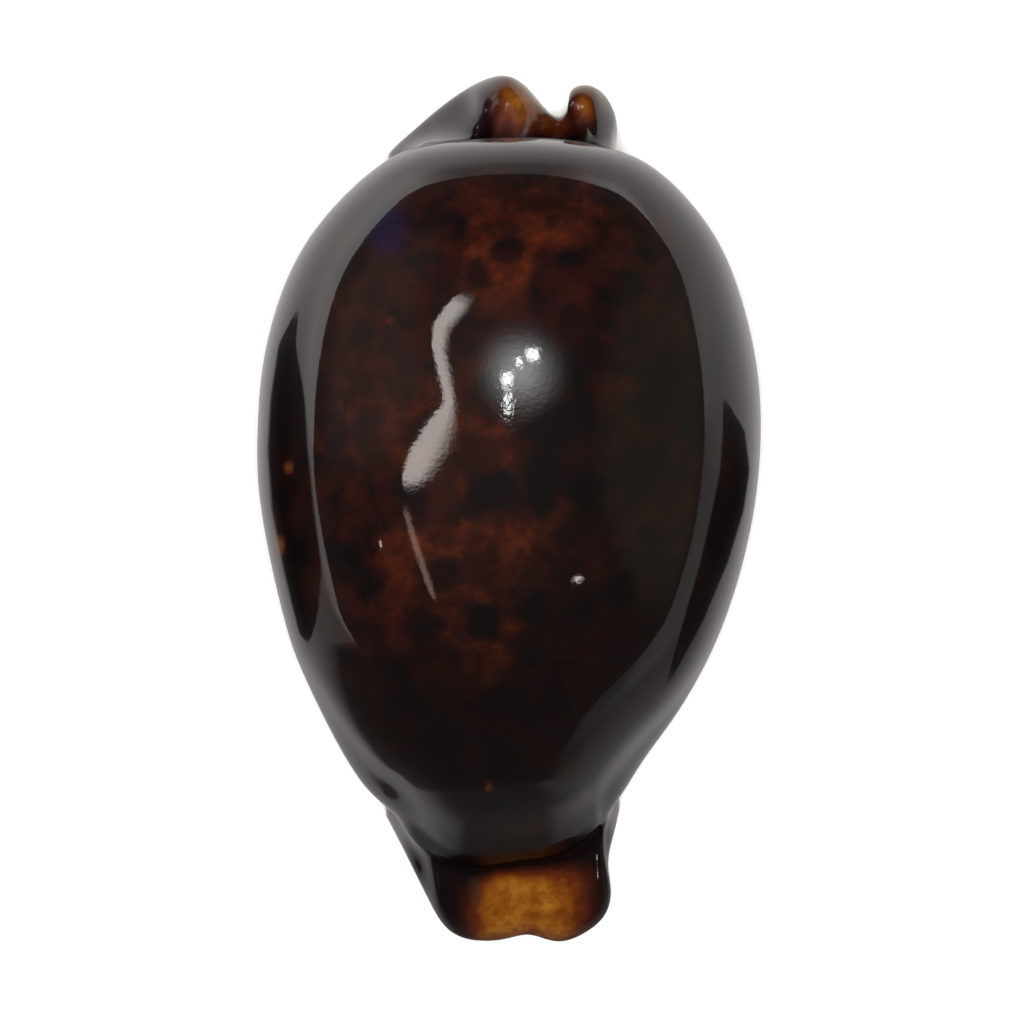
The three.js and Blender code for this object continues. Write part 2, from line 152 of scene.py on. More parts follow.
CURTAIN_RIGHT = [
    (480, 297), (469, 315), (454, 331), (450, 350), (455, 375), (458, 400), (460, 425), (454, 450),
    (436, 478), (412, 493),
]
HEM_LEFT = [(402, 507), (411, 540), (422, 575), (434, 602)]
HEM_RIGHT = [(409, 505), (420, 538), (431, 572), (439, 600)]
FRONT_LEFT_SIDE = [(318, 640), (320, 672), (331, 704), (345, 730), (361, 752), (380, 774), (411, 793)]
FRONT_RIGHT_SIDE = [(670, 640), (652, 668), (629, 698), (612, 722), (594, 745), (580, 762), (566, 778)]
WALL_RIGHT_INNER = [(592, 240), (602, 300), (590, 380), (578, 440), (590, 520), (622, 580), (640, 640)]
WALL_RIGHT_OUTER = [(640, 205), (684, 280), (704, 360), (708, 440), (698, 520), (680, 580), (660, 632)]
WALL_LEFT_OUTER = [(400, 212), (362, 262), (334, 320), (324, 380), (322, 440), (326, 500)]
WALL_LEFT_INNER = [(470, 208), (448, 262), (430, 320), (436, 380), (412, 440), (392, 500)]
WINDOW_HALO = (520, 370, 62, 64)
GLINTS = [(577, 579, 9, 5), (382, 544, 2, 5)]

# Cards: how widely the skin's slope is averaged, the least slope of the skin that is read and how many
# of its points, then how low, how level and how far off a card beside the shell may lie, and its grid
MIRROR_BLUR = 0.7
READ_SLOPE, READ_EVERY = 0.03, 3
CARD_LEVEL = 0.3
CARD_LEVEL_SLOPE = 0.02
CARD_FAR = 600
CARD_ROWS, CARD_COLUMNS = 41, 15

# How far the window's panes, its halo, the curtain, the walls and the lamp are from the shell
PANE_DISTANCE, HALO_DISTANCE, CURTAIN_DISTANCE, WALL_DISTANCE, LAMP_DISTANCE = 950, 1000, 900, 1100, 800

# Stage: half the floor's width, the backdrop's radius and sides, the ground sheet's lines and how much
# closer together they lie near the shell, and the light overhead
FLOOR_REACH = 4000
BACKDROP_REACH, BACKDROP_SIDES = 3900, 64
GROUND_LINES, GROUND_SPREAD = 181, 6.5
LIGHT_HEIGHT, LIGHT_SIZE, LIGHT_POWER = 1800, 500, 62

# Amber: the middles of the two hind patches, single specks (place, radii, share), and the tones by share.
# The third and fourth specks are a small chip in the left flank.
LOBE_MIDDLE, HOOK_MIDDLE = (0.9, 32.8), (6.15, 32.7)
AMBER_SPECKS = [
    ((-1.6, -22.2), (0.35, 0.3), 0.6), ((-9.5, 15), (0.4, 0.3), 0.5), ((-18.3, -2.9), (0.4, 0.9), 0.85),
    ((-18.7, -1.4), (0.2, 1.1), 0.5), ((-17.6, 3.3), (0.4, 0.5), 0.75),
]
AMBER_TONES = [
    (0.05, 0.35, "#290d06"), (0.3, 0.62, "#461c05"), (0.56, 0.88, "#623608"), (0.86, 1.2, "#7d5219"),
]

# Tints that lie over all the rest: a milky patch of painted sheen in place of a soft reflection and painted
# shade in the hollow on the hind lobe, a violet patch on the left shoulder, and the pale edge of the hind rim
TINTS = [("painted_sheen", "#4d2a22"), ("hollow", "#170910"), ("violet", "#0e0b2a"), ("cream", "#8c7058")]


def ease_step(start, stop, value):
    """0 before start, 1 after stop, and a smooth S between them."""
    share = np.clip((value - start) / (stop - start), 0, 1)
    return share * share * (3 - 2 * share)


def mix(a, b, share):
    return a + (b - a) * share


def spline_through(points, closed):
    """Cubic splines through rows of points, with knots spaced by the square root of each chord.

    points has the shape (splines, points, 3). The bend at each point is solved for, so that slope and
    bend run on across it: open ends have no bend, and a closed spline's ends meet. The function that
    is returned reads spline s at a share of the way along a span."""
    count = points.shape[1]
    following = np.roll(points, -1, axis=1)
    step = np.sqrt(np.linalg.norm(following - points, axis=2))
    before = np.roll(step, 1, axis=1)
    slope = (following - points) / step[..., None]
    right = 6 * (slope - np.roll(slope, 1, axis=1))
    matrix = np.zeros((points.shape[0], count, count))
    index = np.arange(count)
    matrix[:, index, (index - 1) % count] += before
    matrix[:, index, index] += 2 * (before + step)
    matrix[:, index, (index + 1) % count] += step
    if not closed:
        for end in (0, count - 1):
            matrix[:, end, :] = 0
            matrix[:, end, end] = 1
            right[:, end] = 0
    bend = np.linalg.solve(matrix, right)

    def read(spline, span, share):
        after = (span + 1) % count
        rest = 1 - share
        scale = step[spline, span] ** 2 / 6
        straight = rest[..., None] * points[spline, span] + share[..., None] * points[spline, after]
        curved = ((rest ** 3 - rest)[..., None] * bend[spline, span]
                  + (share ** 3 - share)[..., None] * bend[spline, after])
        return straight + curved * scale[..., None]

    return read


def angle_round(points):
    """Direction in plan from the summit to each point."""
    return np.arctan2(points[:, 1] - SUMMIT[1], points[:, 0] - SUMMIT[0])


def columns_along(points, marks, rim=None):
    """A closed outline read at even steps between its right, back, left and front marks.

    Length along the outline is a smooth rising curve of the column number that passes the four
    marks at each quarter, so column i lies at matching places on every outline. With a rim given,
    each place moves most of the way to the ray from the summit to the rim's own column."""
    points = np.array([list(point) + [FLANK_RIM_HEIGHT] * (3 - len(point)) for point in points], float)
    read = spline_through(points[None], True)
    place = np.arange(len(points) * SAMPLES_PER_SPAN + 1) / SAMPLES_PER_SPAN
    span = place.astype(int) % len(points)
    samples = read(0, span, place % 1)
    lengths = np.concatenate([[0], np.cumsum(np.linalg.norm(np.diff(samples, axis=0), axis=1))])
    total = lengths[-1]
    mark_lengths = lengths[np.array(marks) * SAMPLES_PER_SPAN]
    quarters = np.diff(np.append(mark_lengths, mark_lengths[0] + total))
    pace = 2 * quarters * np.roll(quarters, 1) / (quarters + np.roll(quarters, 1))
    turn = 4 * np.arange(COLUMNS) / COLUMNS
    quarter = turn.astype(int)
    share = turn - quarter
    along = ((3 * share ** 2 - 2 * share ** 3) * quarters[quarter]
             + (share ** 3 - 2 * share ** 2 + share) * pace[quarter]
             + (share ** 3 - share ** 2) * pace[(quarter + 1) % 4])
    wanted = (mark_lengths[quarter] + along) % total
    found = np.interp(wanted, lengths, place)
    if rim is not None:
        turns = np.unwrap(angle_round(samples))
        aims = turns[0] + (angle_round(rim) - turns[0]) % (2 * np.pi)
        ahead = np.interp(aims, turns, place) - found
        ahead -= len(points) * np.round(ahead / len(points))
        found = (found + RAY_SHARE * ahead) % len(points)
    return read(0, found.astype(int) % len(points), found % 1)


def plan_distance(a, b):
    return np.linalg.norm(a[..., :2] - b[..., :2], axis=-1)


def gap_to_line(points, line):
    """Distance in plan from each point to the nearest place on a closed line."""
    step = (np.roll(line, -1, axis=0) - line)[None, :, :2]
    away = points[:, None, :2] - line[None, :, :2]
    share = np.clip((away * step).sum(axis=2) / (step ** 2).sum(axis=2), 0, 1)
    return np.linalg.norm(away - share[..., None] * step, axis=2).min(axis=1)


def towards_summit(points, distance):
    """Plan points moved towards the point under the summit by a distance."""
    share = distance / plan_distance(points, SUMMIT)
    return mix(points[:, :2], SUMMIT, share[:, None])


def waist_height(y):
    back = ease_step(8, 29, y)
    front = ease_step(-6, -29, y)
    return WAIST_SIDE + back * (WAIST_BACK - WAIST_SIDE) + front * (WAIST_FRONT - WAIST_SIDE)


def dome_ring(edge, latitude, wall):
    """A ring of the dome, set in by the wall: near the top an ellipse, lower down the body's outline.

    Its last ring is upright all round, except at the front, where it still slopes down to the snout."""
    y = edge[:, 1]
    waist = waist_height(y) + wall * 0.4
    last = np.radians(mix(90, FRONT_SLOPE_LATITUDE, ease_step(-10, -29, y)))
    rise = (HEIGHT - wall - waist) / (1 - np.cos(last))
    angle = angle_round(edge)
    bend = BEND_ACROSS * np.cos(angle) ** 2 + BEND_ALONG * np.sin(angle) ** 2
    ellipse = np.sqrt(rise / bend) * (1 - wall / 24)
    outline = (plan_distance(edge, SUMMIT) - wall * 1.3) / np.sin(last)
    turned = latitude / 90 * last
    bulge = 1 + SHOULDER_BULGE * math.sin(math.radians(2 * latitude)) ** 2
    reach = mix(ellipse, outline, math.sin(math.radians(latitude)) ** 2) * np.sin(turned) * bulge
    return np.stack([
        SUMMIT[0] + reach * np.cos(angle),
        SUMMIT[1] + reach * np.sin(angle),
        waist + rise * (np.cos(turned) - np.cos(last)) * bulge,
    ], axis=1)


def ring(plan, height):
    return np.column_stack([plan[:, :2], np.broadcast_to(height, len(plan))])


def rim_and_base(body, rim, lip, throat):
    """The rings on the rim, base and slit.

    Each is a mix of the flank's rounded wall and the canal rims that stand out past the dome. Teeth
    are a cosine wave along the lip that moves the edge into the slit and cuts grooves in the base."""
    out = gap_to_line(rim, body)
    end = ease_step(0.35, 2.3, out)
    hind = rim[:, 1] > 0
    stand = ease_step(0.1, 0.5, out)
    pit = sum(depth * np.exp(-((body[:, 0] - x) / width) ** 2) for x, width, depth in PITS)
    ridge = np.exp(-((rim[:, 0] - RIDGE_X) / RIDGE_WIDTH) ** 2)
    between = ease_step(-1.8, 0.4, rim[:, 0]) * ease_step(8.2, 6.8, rim[:, 0])
    facet = ease_step(-4.2, -1.6, rim[:, 0]) * ease_step(-27.5, -30, rim[:, 1])
    corner = ease_step(-30, -33, rim[:, 1])
    front_share = mix(mix(0.5, 0.62, corner), 0.8, facet)
    crest_share = np.where(hind, 0.5 + 0.25 * between - 0.05 * ridge, front_share)
    front_height = mix(mix(2, 3.2, corner), 2, facet)
    crest_height = np.where(hind, 3.5 + 2.2 * ridge - 0.4 * between, front_height)
    width = plan_distance(rim, lip)
    under_dome = towards_summit(body, mix(0.5, np.where(hind, 0, -0.4), end))
    crest = towards_summit(mix(body, rim, mix(1, crest_share, end)[:, None]), mix(1.1, 0, stand))
    edge = towards_summit(rim, mix(2.1, 0, stand))
    crest_rise = np.minimum(crest_height, 0.3 + 1.1 * out)
    under_height = np.where(hind, 14.5 - pit, mix(9.5, 8.6, facet))
    to_slit = (lip[:, :2] - rim[:, :2]) / width[:, None]
    mask = ease_step(29.5, 25.5, lip[:, 1]) * ease_step(-31.5, -28, lip[:, 1])
    wave = np.cos(TEETH_AROUND * 2 * np.pi * np.arange(COLUMNS) / COLUMNS)
    groove = TOOTH_GROOVE * mask * (0.5 - 0.5 * wave)

    def across(share):
        return mix(edge, lip[:, :2], share[:, None])

    def near(distance):
        return across(np.maximum(1 - distance / width, mix(0.55, 0.75, end)))

    def tooth(points, reach):
        return points + to_slit * (reach * wave * mask)[:, None]

    throat_height = throat[:, 2] + BASE_THICKNESS
    middle = mix(lip[:, :2], throat[:, :2], 0.25)
    return [
        ring(under_dome, mix(8.6, under_height, end)),
        ring(crest, mix(5.2, rim[:, 2] + crest_rise, end)),
        ring(edge, mix(2.6, rim[:, 2], end)),
        ring(across(mix(0.2, 0.28, end)), mix(0.75, mix(rim[:, 2], lip[:, 2], 0.62), end)),
        ring(across(mix(0.46, 0.55, end)), mix(-0.3, mix(1.2, lip[:, 2], 0.5), end)),
        ring(near(3.4), mix(-0.15, lip[:, 2] * 0.75, end) + groove * 0.3),
        ring(near(1.3), mix(0.12, lip[:, 2] * 0.85, end) + groove),
        ring(tooth(lip[:, :2], TOOTH_REACH), lip[:, 2] + groove * 0.6),
        ring(tooth(middle, TOOTH_REACH * 0.7), mix(lip[:, 2], throat_height, 0.5)),
        ring(throat, throat_height),
    ]


def hollow_rings(body, throat):
    """Inside of the hollow: its floor, the corner under the waist, and the dome set in by the wall."""
    floor = mix(throat[:, :2], body[:, :2], 0.42)
    corner = towards_summit(body, 5.2)
    return [ring(floor, BASE_THICKNESS + 1.1), ring(corner, 9.4)] + [
        dome_ring(body, latitude, WALL) for latitude in HOLLOW_LATITUDES]


def fit_to_size(points):
    """Clips the base flat at z = 0 and stretches the skin to exactly the frame's box."""
    points[:, 2] = np.maximum(points[:, 2], 0)
    low = points.min(axis=0)
    high = points.max(axis=0)
    return CAD_LOW + (points - low) / (high - low) * (CAD_HIGH - CAD_LOW)


def skin():
    """Points of the whole skin, row by row, with each point's ring number.

    Down each column one spline runs from the top over the rim, base and slit to the ceiling of the
    hollow. Two rings from the far side of each pole keep the poles round."""
    rim = columns_along(RIGHT_FLANK + BACK_RIM + LEFT_FLANK + FRONT_RIM, RIM_MARKS)
    body = columns_along(RIGHT_FLANK + DOME_BACK + LEFT_FLANK + DOME_FRONT, BODY_MARKS, rim)
    lip = columns_along(LIP, LIP_MARKS)
    throat = columns_along(THROAT, THROAT_MARKS)
    far = np.roll(body, COLUMNS // 2, axis=0)
    top = np.tile([*SUMMIT, HEIGHT], (COLUMNS, 1))
    ceiling = top - [0, 0, WALL]
    rings = [dome_ring(far, latitude, 0) for latitude in DOME_LATITUDES[1::-1]]
    rings += [top] + [dome_ring(body, latitude, 0) for latitude in DOME_LATITUDES]
    rings += rim_and_base(body, rim, lip, throat) + hollow_rings(body, throat)
    rings += [ceiling] + [dome_ring(far, latitude, WALL) for latitude in HOLLOW_LATITUDES[:-3:-1]]
    read = spline_through(np.stack(rings, axis=1), False)
    places = np.concatenate([span + np.arange(1, rows + 1) / rows for span, rows in enumerate(ROWS_IN_SPAN)])
    spans = np.ceil(places).astype(int) - 1
    columns = np.arange(COLUMNS)[None, :]
    shares = np.broadcast_to((places - spans)[:, None], (len(places), COLUMNS))
    rows = read(columns, (spans + 2)[:, None], shares)
    points = np.concatenate([top[:1], rows.reshape(-1, 3), ceiling[:1]])
    numbers = np.concatenate([[0], np.repeat(places, COLUMNS), [places[-1] + 1]])
    return fit_to_size(points), numbers


def skin_faces(point_count):
    """Squares between neighbouring rows, and a fan of triangles at each pole, all facing out."""
    rows = (point_count - 2) // COLUMNS
    grid = 1 + np.arange(rows * COLUMNS).reshape(rows, COLUMNS)
    beside = np.roll(grid, -1, axis=1)
    squares = np.stack([grid[:-1], grid[1:], beside[1:], beside[:-1]], axis=-1).reshape(-1, 4)
    top_fan = np.stack([np.zeros(COLUMNS, int), grid[0], beside[0]], axis=-1)
    ceiling_fan = np.stack([np.full(COLUMNS, point_count - 1), beside[-1], grid[-1]], axis=-1)
    return squares.tolist() + top_fan.tolist() + ceiling_fan.tolist()


def grid_faces(rows, columns):
    """Squares of a grid of points that is numbered row by row."""
    grid = np.arange(rows * columns).reshape(rows, columns)
    corners = [grid[:-1, :-1], grid[1:, :-1], grid[1:, 1:], grid[:-1, 1:]]
    return np.stack(corners, axis=-1).reshape(-1, 4).tolist()


def make_mesh(name, points, faces):
    """A smooth-shaded object at the origin from points in millimetres."""
    mesh = bpy.data.meshes.new(name)
    mesh.from_pydata((np.asarray(points) * MM).tolist(), [], faces)
    mesh.polygons.foreach_set("use_smooth", np.ones(len(mesh.polygons), bool))
    mesh.update()
    thing = bpy.data.objects.new(name, mesh)
    bpy.context.collection.objects.link(thing)
    return thing


def linear(hex_colour):
    """An sRGB hex colour as linear red, green, blue and full alpha."""
    levels = [int(hex_colour[i:i + 2], 16) / 255 for i in (1, 3, 5)]
    colour = [level / 12.92 if level <= 0.04045 else ((level + 0.055) / 1.055) ** 2.4 for level in levels]
    return colour + [1]


def add(tree, kind, settings=None, inputs=None, output=0):
    """Adds one node and returns one of its outputs.

    Settings are the node's own properties. An input takes an output to link, a hex colour or a value."""
    node = tree.nodes.new(kind)
    for name, value in (settings or {}).items():
        setattr(node, name, value)
    for key, value in (inputs or {}).items():
        if isinstance(value, bpy.types.NodeSocket):
            tree.links.new(value, node.inputs[key])
        else:
            node.inputs[key].default_value = linear(value) if isinstance(value, str) else value
    return node.outputs[output] if node.outputs else None


def empty_material(name):
    material = bpy.data.materials.new(name)
    material.use_nodes = True
    material.node_tree.nodes.clear()
    return material, material.node_tree


def near(points, middle, radii, soft):
    """1 inside an ellipse in plan, easing to 0 over its soft edge."""
    away = np.linalg.norm((points[:, :2] - middle) / radii, axis=1)
    return ease_step(1 + soft, 1 - soft, away)


def amber_share(points, rings):
    """How much light the thin ends let through, from 0 to 1: it is most at the middle of each rim."""
    x, y = points[:, 0], points[:, 1]
    width = np.where(x > 1.3, 7.3, 6.5)
    top_edge = -27.6 - 1.5 * ease_step(-0.8, -3.8, x)
    front = ease_step(width, width - 4.6, np.abs(x - 1.3)) * ease_step(top_edge, top_edge - 3, y)
    front = front * mix(0.93, 0.76, ease_step(2.2, 5, x))
    lobe = 0.95 * ease_step(5.2, -0.4, np.linalg.norm((points[:, :2] - LOBE_MIDDLE) / [0.8, 1], axis=1))
    saddle = 0.5 * near(points, (3.6, 31.2), (1.6, 1.5), 0.7)
    hook = 0.85 * ease_step(2.5, -0.3, np.linalg.norm((points[:, :2] - HOOK_MIDDLE) / [0.8, 1.3], axis=1))
    hind = np.maximum(np.maximum(lobe, saddle), hook) * ease_step(28.6, 30.2, y)
    rims = np.maximum(front, hind) * ease_step(WAIST_RING + 0.9, WAIST_RING + 1.3, rings)
    specks = sum(share * near(points, middle, radii, 0.6) for middle, radii, share in AMBER_SPECKS)
    specks = np.where(rings < WAIST_RING, specks, 0)
    return np.maximum(rims, specks) * ease_step(EDGE_RING + 1.6, EDGE_RING + 0.4, rings)


def markings(points, rings):
    """The soft shapes of the shell's colours as one value per point for each name."""
    x, y = points[:, 0], points[:, 1]
    hind_window = 0.75 * near(points, (0.6, 22), (6.5, 5), 0.7)
    middle_window = near(points, (-3.2, -1.2), (5.4, 9.5), 0.7)
    left_window = 0.5 * near(points, (-12.5, 7.5), (3, 8), 0.8)
    maroon = np.maximum(near(points, (-1, 20), (17, 9), 0.6), near(points, (-11, 1), (6, 13), 0.6))
    hind_tip = ease_step(29.4, 30.6, y)
    crease_start = np.where(y > 0, WAIST_RING - 1.2, WAIST_RING - 0.7)
    above_crest = ease_step(WAIST_RING + 1.3, WAIST_RING + 1.1, rings)
    creased = ease_step(crease_start, crease_start + 0.35, rings) * above_crest
    at_ends = np.maximum(ease_step(28.4, 29.2, y), ease_step(-24.5, -26, y))
    above = ease_step(EDGE_RING + 0.6, EDGE_RING, rings)
    return {
        "ring": rings,
        "amber": amber_share(points, rings),
        "window": np.maximum(np.maximum(hind_window, middle_window), left_window),
        "maroon": maroon,
        "flank": ease_step(WAIST_RING - 2, WAIST_RING - 0.4, rings),
        # painted sheen: a milky patch painted on the hind lobe in place of a soft reflection
        "painted_sheen": 0.7 * near(points, (-0.2, 30.9), (1.1, 1.3), 0.6) * ease_step(28.8, 29.6, y) * above,
        # painted shade: the hollow on the hind lobe is painted dark where its shade and dark reflection fall
        "hollow": near(points, (-2.2, 31.3), (0.8, 1.6), 0.6) * ease_step(28.8, 29.6, y) * above,
        "violet": 0.6 * near(points, (-9.7, 22.3), (1.5, 2), 0.6) * (rings < WAIST_RING),
        "cream": 0.55 * ease_step(9.1, 9.8, rings) * hind_tip * ease_step(-0.5, 1, x) * ease_step(9, 7, x),
        "coat": 1 - 0.85 * creased * at_ends,
        "blur": 0.03 + 0.1 * hind_tip + 0.02 * ease_step(-27, -29, y),
    }


def cowrie_enamel(names):
    """Cowrie enamel: thin glassy layers of aragonite that the animal's mantle laid and polished.

    The top is clear and mirror smooth, and the pigment lies in blurred spots at several depths. The
    names are those of the skin's markings."""
    material, tree = empty_material("cowrie_enamel")
    mark = {}
    for name in names:
        mark[name] = add(tree, "ShaderNodeAttribute", {"attribute_name": name}, output="Fac")
    coordinates = add(tree, "ShaderNodeTexCoord", output="Object")
    place = add(tree, "ShaderNodeVectorMath", {"operation": "SCALE"}, {0: coordinates, "Scale": 1 / MM})

    # Panther spots: dark blurred dots about 4 mm apart, with brown between them
    warp = add(tree, "ShaderNodeTexNoise", None, {"Vector": place, "Scale": 1 / 5, "Detail": 2}, "Color")
    bent = add(tree, "ShaderNodeVectorMath", {"operation": "MULTIPLY_ADD"},
               {0: warp, 1: (3.4, 3.4, 3.4), 2: place})
    spots = add(tree, "ShaderNodeTexVoronoi", {"feature": "SMOOTH_F1"},
                {"Vector": bent, "Scale": 1 / 3.8, "Smoothness": 0.4}, "Distance")
    between = add(tree, "ShaderNodeMapRange", {"interpolation_type": "SMOOTHSTEP"},
                  {"Value": spots, "From Min": 0.28, "From Max": 0.56})

    # Brown windows show through where the outer dark layer is thin, in clouds about 11 mm across
    cloud = add(tree, "ShaderNodeTexNoise", None,
                {"Vector": place, "Scale": 1 / 11, "Detail": 4, "Roughness": 0.6}, "Fac")
    open_cloud = add(tree, "ShaderNodeMapRange", {"interpolation_type": "SMOOTHSTEP"},
                     {"Value": cloud, "From Min": 0.4, "From Max": 0.66, "To Min": 0.3, "To Max": 1.1})
    fine = add(tree, "ShaderNodeTexNoise", None,
               {"Vector": place, "Scale": 1 / 1.1, "Detail": 4, "Roughness": 0.65}, "Fac")
    grain = add(tree, "ShaderNodeMapRange", {"interpolation_type": "SMOOTHSTEP"},
                {"Value": fine, "From Min": 0.35, "From Max": 0.7, "To Min": 0.55, "To Max": 1.25})
    clouded = add(tree, "ShaderNodeMath", {"operation": "MULTIPLY"}, {0: open_cloud, 1: grain})
    open_between = add(tree, "ShaderNodeMath", {"operation": "MULTIPLY"}, {0: clouded, 1: between})
    window = add(tree, "ShaderNodeMath", {"operation": "MULTIPLY_ADD"}, {0: mark["window"], 1: 0.8, 2: 0.1})
    glow = add(tree, "ShaderNodeMath", {"operation": "MULTIPLY"}, {0: open_between, 1: window})
    mottle = add(tree, "ShaderNodeTexNoise", None,
                 {"Vector": place, "Scale": 1 / 2.6, "Detail": 4, "Roughness": 0.6}, "Fac")
    mottled = add(tree, "ShaderNodeMapRange", {"interpolation_type": "SMOOTHSTEP"},
                  {"Value": mottle, "From Min": 0.35, "From Max": 0.65})
    brown = add(tree, "ShaderNodeMix", {"data_type": "RGBA"}, {0: mottled, 6: "#2b0b05", 7: "#481c08"}, 2)
    red = add(tree, "ShaderNodeMath", {"operation": "MULTIPLY"}, {0: mark["maroon"], 1: mottled})
    dark = add(tree, "ShaderNodeMix", {"data_type": "RGBA"}, {0: red, 6: "#080505", 7: "#1b0706"}, 2)
    dorsum = add(tree, "ShaderNodeMix", {"data_type": "RGBA"}, {0: glow, 6: dark, 7: brown}, 2)

    # Flanks run near black, and the base is a pale fawn that starts ragged inside the margin
    upper = add(tree, "ShaderNodeMix", {"data_type": "RGBA"},
                {0: mark["flank"], 6: dorsum, 7: "#090404"}, 2)
    ragged = add(tree, "ShaderNodeTexNoise", None,
                 {"Vector": place, "Scale": 1 / 3, "Detail": 4, "Roughness": 0.6}, "Fac")
    ragged_ring = add(tree, "ShaderNodeMath", {"operation": "MULTIPLY_ADD"},
                      {0: ragged, 1: 1.6, 2: mark["ring"]})
    underneath = add(tree, "ShaderNodeMapRange", {"interpolation_type": "SMOOTHSTEP"},
                     {"Value": ragged_ring, "From Min": EDGE_RING + 1.1, "From Max": EDGE_RING + 2.7})
    fawn = add(tree, "ShaderNodeTexNoise", None, {"Vector": place, "Scale": 1 / 6, "Detail": 3}, "Fac")
    base = add(tree, "ShaderNodeMix", {"data_type": "RGBA"}, {0: fawn, 6: "#8d6547", 7: "#b89473"}, 2)
    skin_tone = add(tree, "ShaderNodeMix", {"data_type": "RGBA"}, {0: underneath, 6: upper, 7: base}, 2)
    by_lip = add(tree, "ShaderNodeMapRange", None,
                 {"Value": mark["ring"], "From Min": LIP_RING - 1.6, "From Max": LIP_RING - 0.4})
    toothed = add(tree, "ShaderNodeMix", {"data_type": "RGBA"}, {0: by_lip, 6: skin_tone, 7: "#e6d8bd"}, 2)
    within = add(tree, "ShaderNodeMapRange", None,
                 {"Value": mark["ring"], "From Min": LIP_RING + 0.8, "From Max": THROAT_RING + 0.5})
    lined = add(tree, "ShaderNodeMix", {"data_type": "RGBA"}, {0: within, 6: toothed, 7: "#c9b6a4"}, 2)

    # Amber ends, where the layers are thin and light comes through: dark brown, then orange, then honey
    ripple = add(tree, "ShaderNodeTexNoise", None,
                 {"Vector": place, "Scale": 1 / 1.3, "Detail": 5, "Roughness": 0.65}, "Fac")
    uneven = add(tree, "ShaderNodeMath", {"operation": "MULTIPLY_ADD"}, {0: ripple, 1: 1.3, 2: 0.33})
    amber = add(tree, "ShaderNodeMath", {"operation": "MULTIPLY"}, {0: mark["amber"], 1: uneven})
    colour = lined
    for low, high, tone in AMBER_TONES:
        share = add(tree, "ShaderNodeMapRange", None, {"Value": amber, "From Min": low, "From Max": high})
        colour = add(tree, "ShaderNodeMix", {"data_type": "RGBA"}, {0: share, 6: colour, 7: tone}, 2)
    for name, tone in TINTS:
        colour = add(tree, "ShaderNodeMix", {"data_type": "RGBA"}, {0: mark[name], 6: colour, 7: tone}, 2)

    # Mirror polish with the faintest waves, a third of a millimetre long
    waves = add(tree, "ShaderNodeTexNoise", None, {"Vector": place, "Scale": 1 / 0.35, "Detail": 2}, "Fac")
    dents = add(tree, "ShaderNodeBump", None, {"Strength": 0.012, "Distance": 0.0002, "Height": waves})
    shader = add(tree, "ShaderNodeBsdfPrincipled", None,
                 {"Base Color": colour, "Roughness": 0.4, "IOR": 1.5, "Specular IOR Level": 0.1,
                  "Coat Weight": mark["coat"], "Coat Roughness": mark["blur"], "Coat IOR": 1.55,
                  "Normal": dents, "Coat Normal": dents})
    add(tree, "ShaderNodeOutputMaterial", None, {"Surface": shader})
    return material


def plain_material(name, hex_colour, roughness):
    """An even matt stage material."""
    material = bpy.data.materials.new(name)
    material.use_nodes = True
    shader = material.node_tree.nodes["Principled BSDF"]
    shader.inputs["Base Color"].default_value = linear(hex_colour)
    shader.inputs["Roughness"].default_value = roughness
    return material


def glow_material(name, hex_colour, strength):
    """Even light of a given strength, or with an attribute's name given, as strong as that says."""
    material, tree = empty_material(name)
    if isinstance(strength, str):
        strength = add(tree, "ShaderNodeAttribute", {"attribute_name": strength}, output="Fac")
    glow = add(tree, "ShaderNodeEmission", None, {"Color": hex_colour, "Strength": strength})
    add(tree, "ShaderNodeOutputMaterial", None, {"Surface": glow})
    return material


def card_light(name, hex_colour, strength):
    """Light of a card that is clear wherever the card's "cover" is 0."""
    material, tree = empty_material(name)
    cover = add(tree, "ShaderNodeAttribute", {"attribute_name": "cover"}, output="Fac")
    glow = add(tree, "ShaderNodeEmission", None, {"Color": hex_colour, "Strength": strength})
    clear = add(tree, "ShaderNodeBsdfTransparent")
    blend = add(tree, "ShaderNodeMixShader", None, {0: cover, 1: clear, 2: glow})
    add(tree, "ShaderNodeOutputMaterial", None, {"Surface": blend})
    return material


def give(thing, name, values):
    """Puts one value per point on an object's mesh."""
    attribute = thing.data.attributes.new(name, "FLOAT", "POINT")
    attribute.data.foreach_set("value", values.astype(np.float32))


def make_shell():
    """The whole skin with its markings and enamel, in place of the frame's solid."""
    points, rings = skin()
    shell = make_mesh("cowrie_skin", points, skin_faces(len(points)))
    marks = markings(points, rings)
    for name, values in marks.items():
        give(shell, name, values)
    shell.data.materials.append(cowrie_enamel(marks))
    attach(shell, "root")
    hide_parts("shell")
    return shell


def make_camera():
    """Looks straight down, so far away that the rims and the dome keep their true sizes."""
    data = bpy.data.cameras.new("camera")
    data.sensor_width = SENSOR
    frame_width = FRAME_PIXELS * PIXEL
    data.lens = SENSOR * (CAMERA_HEIGHT - SCALE_LEVEL) / frame_width
    camera = bpy.data.objects.new("camera", data)
    off_centre = (FRAME_PIXELS / 2 - MIDDLE_PIXEL) * PIXEL
    camera.location = Vector((off_centre, -off_centre, CAMERA_HEIGHT)) * MM
    bpy.context.collection.objects.link(camera)
    bpy.context.scene.camera = camera


def only_seen_by(thing, camera=False, glossy=False):
    """Hides a stage piece from every ray but the camera's own or those of the gloss."""
    thing.visible_camera = camera
    thing.visible_glossy = glossy
    thing.visible_diffuse = False
    thing.visible_transmission = False
    thing.visible_volume_scatter = False
    thing.visible_shadow = False


